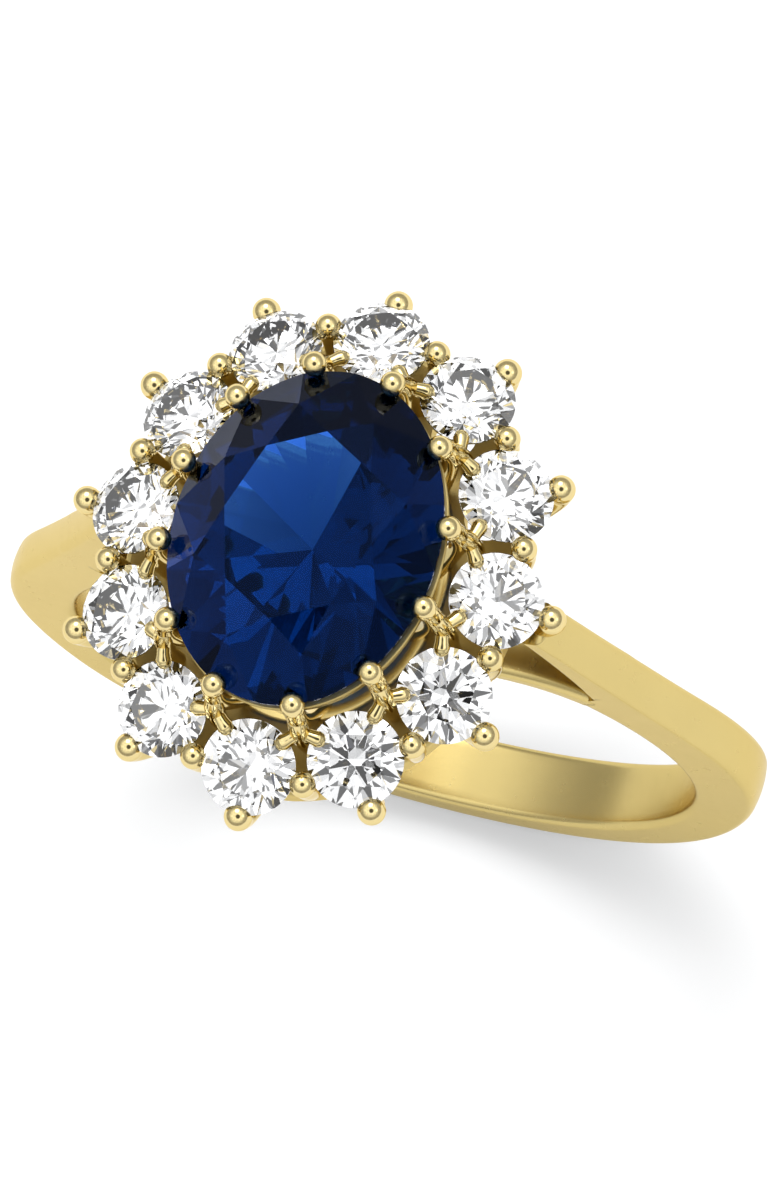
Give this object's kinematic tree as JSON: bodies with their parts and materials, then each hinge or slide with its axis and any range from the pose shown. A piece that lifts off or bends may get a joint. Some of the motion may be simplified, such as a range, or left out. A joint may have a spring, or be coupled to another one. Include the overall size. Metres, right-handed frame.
{
  "type": "engagement ring",
  "caption": "Oval cluster engagement ring: a faceted blue oval stone in ball-tipped claws inside a halo of round brilliants, on a cathedral-shouldered yellow gold band.",
  "frame": {"origin": "centre of the finger hole, halfway along the band's width", "axes": "+Y along the finger hole's axis, +Z from the finger up through the middle of the head, X across the ring from shoulder to shoulder"},
  "size_m": [0.0206, 0.0146, 0.0254],
  "materials": {
    "gold": "14 ct yellow gold: satin band, polished claws",
    "sapphire": "deep blue faceted sapphire, polished",
    "diamond": "colourless faceted diamond, polished"
  },
  "bodies": {
    "root": {"base_ring": "gold", "basket_rail": "gold", "centre_claw_01": "gold", "centre_claw_02": "gold", "centre_claw_03": "gold", "centre_claw_04": "gold", "centre_claw_05": "gold", "centre_claw_06": "gold", "centre_claw_07": "gold", "centre_claw_08": "gold", "centre_claw_09": "gold", "centre_claw_10": "gold", "centre_claw_11": "gold", "centre_claw_12": "gold", "diamond_01": "diamond", "diamond_02": "diamond", "diamond_03": "diamond", "diamond_04": "diamond", "diamond_05": "diamond", "diamond_06": "diamond", "diamond_07": "diamond", "diamond_08": "diamond", "diamond_09": "diamond", "diamond_10": "diamond", "diamond_11": "diamond", "diamond_12": "diamond", "finger_bridge": "gold", "halo_plate": "gold", "outer_claw_01": "gold", "outer_claw_02": "gold", "outer_claw_03": "gold", "outer_claw_04": "gold", "outer_claw_05": "gold", "outer_claw_06": "gold", "outer_claw_07": "gold", "outer_claw_08": "gold", "outer_claw_09": "gold", "outer_claw_10": "gold", "outer_claw_11": "gold", "outer_claw_12": "gold", "sapphire": "sapphire", "shank": "gold", "shared_claw_01": "gold", "shared_claw_02": "gold", "shared_claw_03": "gold", "shared_claw_04": "gold", "shared_claw_05": "gold", "shared_claw_06": "gold", "shared_claw_07": "gold", "shared_claw_08": "gold", "shared_claw_09": "gold", "shared_claw_10": "gold", "shared_claw_11": "gold", "shared_claw_12": "gold", "split_claws": "gold", "stone_seats": "gold"}
  },
  "joints": []
}
